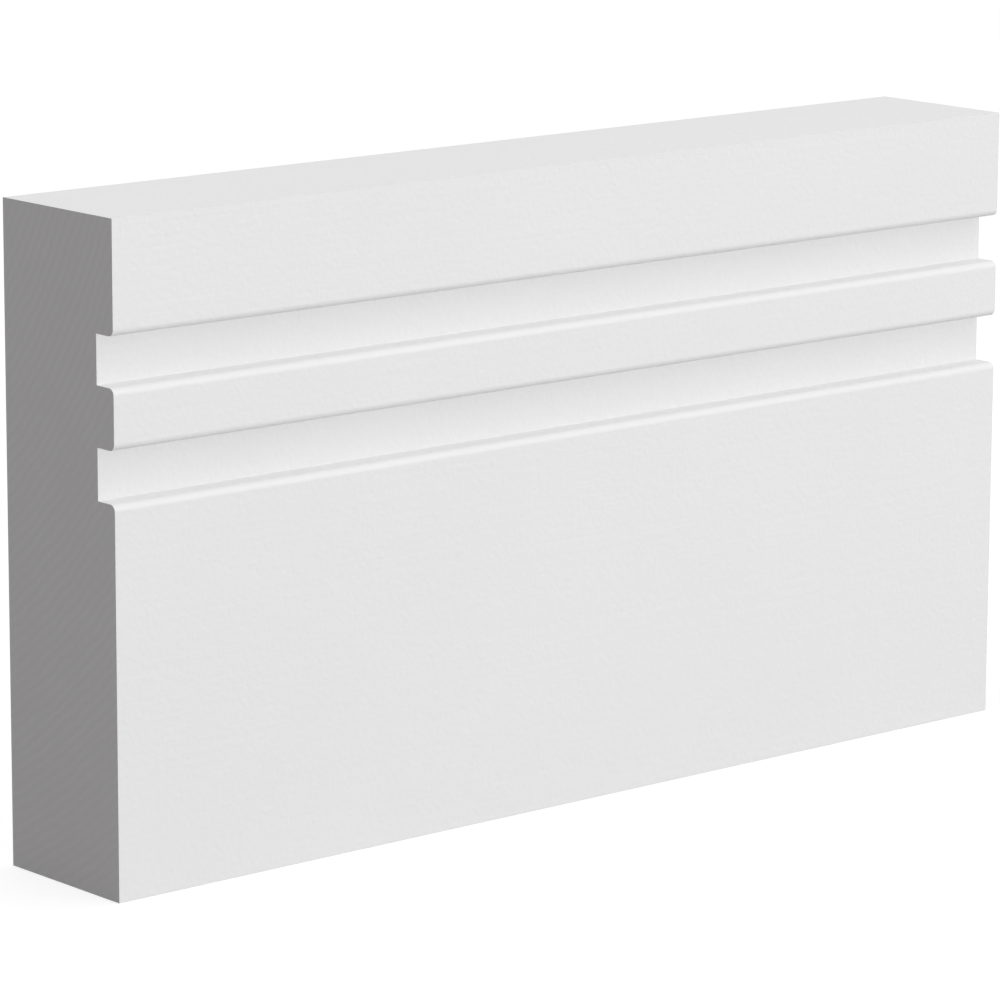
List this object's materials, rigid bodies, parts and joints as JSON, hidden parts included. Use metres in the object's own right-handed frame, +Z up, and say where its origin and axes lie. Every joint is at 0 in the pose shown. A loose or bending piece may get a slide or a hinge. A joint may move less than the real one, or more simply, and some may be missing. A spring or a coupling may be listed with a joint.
{
  "type": "skirting board",
  "caption": "Straight length of rectangular skirting board with square-bottomed grooves run along its face below the top edge, their lips rounded; fixes flat to a wall at floor level.",
  "frame": {"origin": "middle of the underside, where the board stands on the floor", "axes": "+X along the board, +Y through it from the grooved face to the wall side, +Z up from the floor"},
  "size_m": [0.17, 0.025, 0.095],
  "materials": {
    "primed_board": "moulded fibreboard under a smooth matt white primer, with flat mid-grey sawn ends"
  },
  "bodies": {
    "root": {"skirting_board": "primed_board"}
  },
  "joints": []
}
